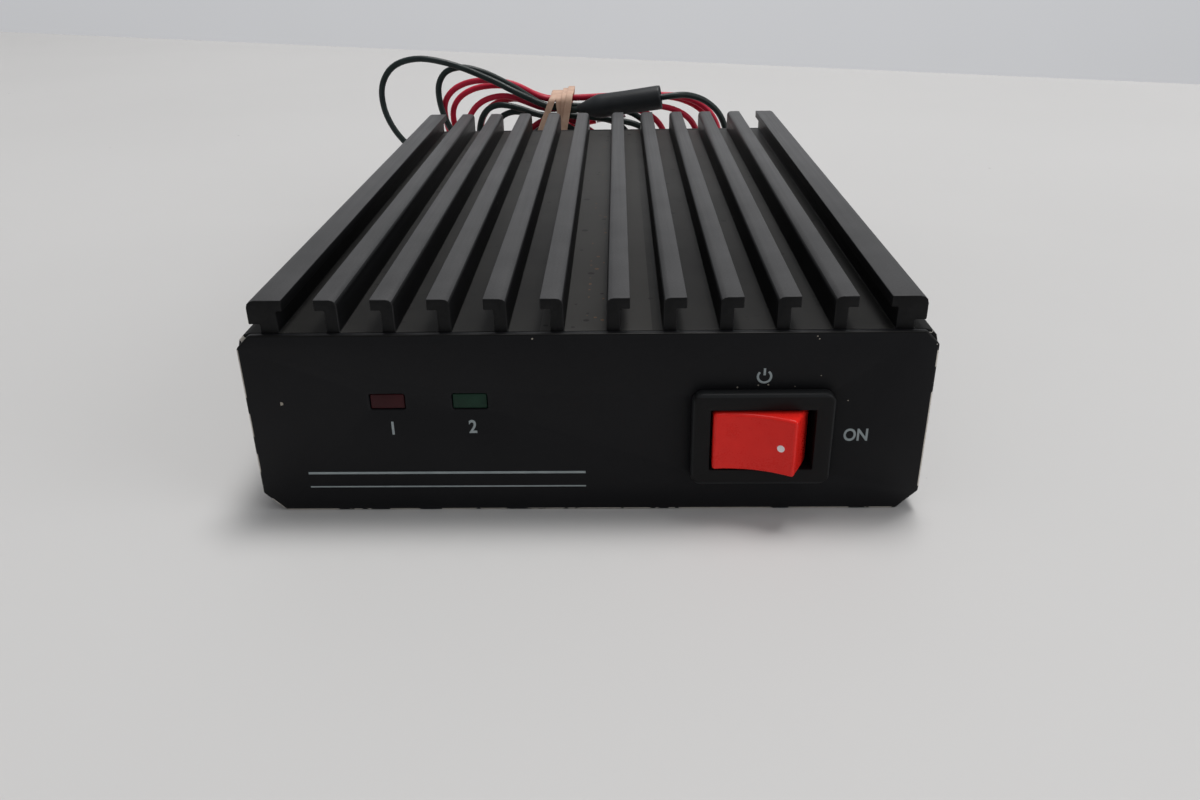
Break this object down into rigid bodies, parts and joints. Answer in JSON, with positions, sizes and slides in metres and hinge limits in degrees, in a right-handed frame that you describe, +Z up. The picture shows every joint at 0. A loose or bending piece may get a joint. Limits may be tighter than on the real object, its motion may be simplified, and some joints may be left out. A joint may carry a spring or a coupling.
{
  "type": "rf power amplifier",
  "caption": "Finned black amplifier box for a car radio: front plate with red rocker switch and lamps, coaxial sockets behind, tied red and black leads.",
  "frame": {"origin": "under the middle of the amplifier without its leads, on the surface that it stands on", "axes": "+X to the right seen from the front plate, +Y from the front plate to the sockets, +Z up"},
  "size_m": [0.1158, 0.1882, 0.047],
  "materials": {
    "anodised_black": "satin black anodised, a little dusty",
    "painted_black": "satin black paint with bare pale edges",
    "bare_steel": "plain plated sheet",
    "screw_steel": "plated",
    "socket_metal": "dull nickel plate",
    "white_insulator": "off-white",
    "contact_brass": "plated brass",
    "black_plastic": "moulded, satin",
    "rocker_red": "red with a pale dot",
    "lamp_red": "unlit red lens",
    "lamp_green": "unlit green lens",
    "board_green": "coated circuit board",
    "white_ceramic": "ceramic cap with plated leads",
    "coil_copper": "wound bobbin",
    "capacitor_blue": "printed sleeve left bare",
    "trimmer_body": "ceramic base",
    "black_insulation": "satin cable jacket",
    "red_insulation": "satin cable jacket",
    "tinned_wire": "tinned strands",
    "band_rubber": "beige rubber band"
  },
  "bodies": {
    "case": {"heatsink": "anodised_black", "bottom_cover": "painted_black", "rear_plate": "painted_black", "front_plate": "painted_black", "front_subpanel": "bare_steel", "switch_housing": "black_plastic", "switch_terminal_common": "contact_brass", "switch_terminal_load": "contact_brass", "power_lamp": "lamp_red", "transmit_lamp": "lamp_green", "main_board": "board_green", "transistor_flange": "contact_brass", "transistor_body": "white_ceramic", "relay_base": "black_plastic", "relay_coil": "coil_copper", "relay_cover": "black_plastic", "supply_capacitor": "capacitor_blue", "lead_bushing": "black_plastic", "black_lead": "black_insulation", "black_lead_hank": "black_insulation", "red_lead": "red_insulation", "red_lead_hank": "red_insulation", "black_lead_end": "tinned_wire", "red_lead_end": "tinned_wire", "fuse_sleeve": "black_plastic", "rubber_band": "band_rubber", "trimmer_1_base": "trimmer_body", "subpanel_screw_1": "screw_steel", "transistor_screw_1": "screw_steel", "trimmer_2_base": "trimmer_body", "subpanel_screw_2": "screw_steel", "transistor_screw_2": "screw_steel", "cover_screw_1": "screw_steel", "rear_screw_1": "screw_steel", "cover_screw_2": "screw_steel", "rear_screw_2": "screw_steel", "cover_screw_3": "screw_steel", "rear_screw_3": "screw_steel", "cover_screw_4": "screw_steel", "rear_screw_4": "screw_steel", "antenna_socket_shell": "socket_metal", "antenna_socket_insulator": "white_insulator", "antenna_socket_contact": "contact_brass", "antenna_socket_screw_1": "screw_steel", "antenna_socket_screw_2": "screw_steel", "antenna_socket_screw_3": "screw_steel", "antenna_socket_screw_4": "screw_steel", "radio_socket_shell": "socket_metal", "radio_socket_insulator": "white_insulator", "radio_socket_contact": "contact_brass", "radio_socket_screw_1": "screw_steel", "radio_socket_screw_2": "screw_steel", "radio_socket_screw_3": "screw_steel", "radio_socket_screw_4": "screw_steel"},
    "rocker": {"switch_rocker": "rocker_red"},
    "contact_lever": {"switch_lever": "contact_brass"},
    "armature": {"relay_armature": "bare_steel"},
    "trimmer_1": {"trimmer_1_rotor": "socket_metal"},
    "trimmer_2": {"trimmer_2_rotor": "socket_metal"}
  },
  "joints": [
    {"name": "rocker_tilt", "type": "hinge", "parent": "case", "child": "rocker", "pos_m": [0.0256, -0.07929, 0.0128], "axis": [0, 0, 1], "range_deg": [0, 25]},
    {"name": "contact_lever_rock", "type": "hinge", "parent": "case", "child": "contact_lever", "pos_m": [0.0256, -0.07029, 0.0128], "axis": [0, 0, 1], "range_deg": [-12, 0]},
    {"name": "relay_armature_pull", "type": "hinge", "parent": "case", "child": "armature", "pos_m": [-0.026, 0.02421, 0.0112], "axis": [1, 0, 0], "range_deg": [0, 3], "stiffness_Nm_per_rad": 0.002, "springref_deg": -2.86},
    {"name": "trimmer_1_turn", "type": "hinge", "parent": "case", "child": "trimmer_1", "pos_m": [0.024, -0.00429, 0.0172], "axis": [0, 0, 1], "continuous": true},
    {"name": "trimmer_2_turn", "type": "hinge", "parent": "case", "child": "trimmer_2", "pos_m": [0.024, 0.00871, 0.0172], "axis": [0, 0, 1], "continuous": true}
  ],
  "couplings": [
    {"joint": "contact_lever_rock", "follows": "rocker_tilt", "ratio": -0.48}
  ]
}
